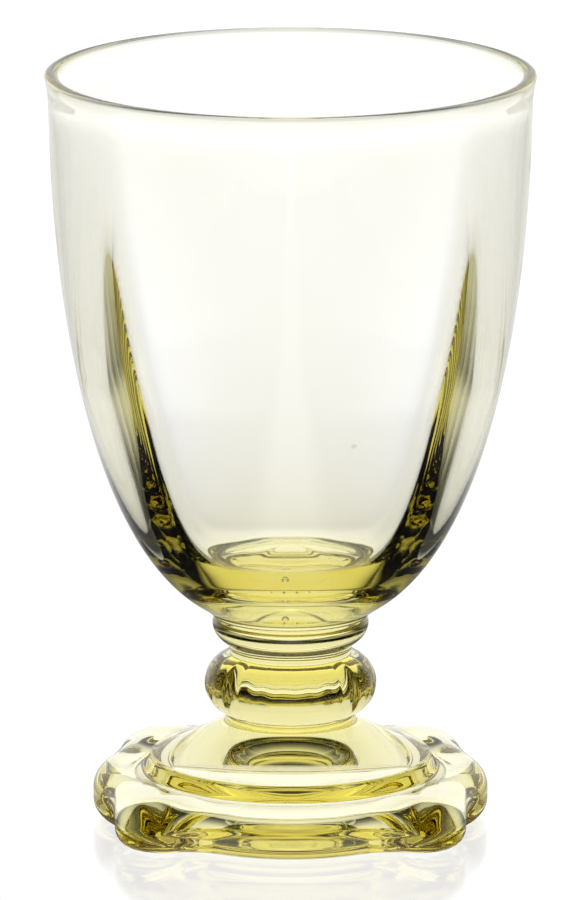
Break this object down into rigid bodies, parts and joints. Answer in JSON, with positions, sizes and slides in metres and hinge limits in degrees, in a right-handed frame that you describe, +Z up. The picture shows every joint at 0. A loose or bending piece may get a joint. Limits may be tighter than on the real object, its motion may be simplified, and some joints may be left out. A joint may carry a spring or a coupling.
{
  "type": "liqueur glass",
  "caption": "Footed liqueur glass: round deep bowl with inner ribs, collar, short round knop and a stepped square foot with lobed corners and a hollow underside, for serving small measures of drink.",
  "frame": {"origin": "on the axis, at the level of the flat ring under the plinth that the glass stands on", "axes": "+Z up along the axis of the bowl; -Y towards the middle of one bulging side of the square foot"},
  "size_m": [0.0556, 0.0556, 0.0877],
  "materials": {
    "bowl_glass": "fire-polished clear",
    "collar_glass": "fire-polished clear",
    "knop_glass": "fire-polished clear",
    "foot_dome_glass": "fire-polished clear",
    "foot_plinth_glass": "fire-polished clear"
  },
  "bodies": {
    "root": {"bowl": "bowl_glass", "collar": "collar_glass", "knop": "knop_glass", "foot_dome": "foot_dome_glass", "foot_plinth": "foot_plinth_glass"}
  },
  "joints": []
}
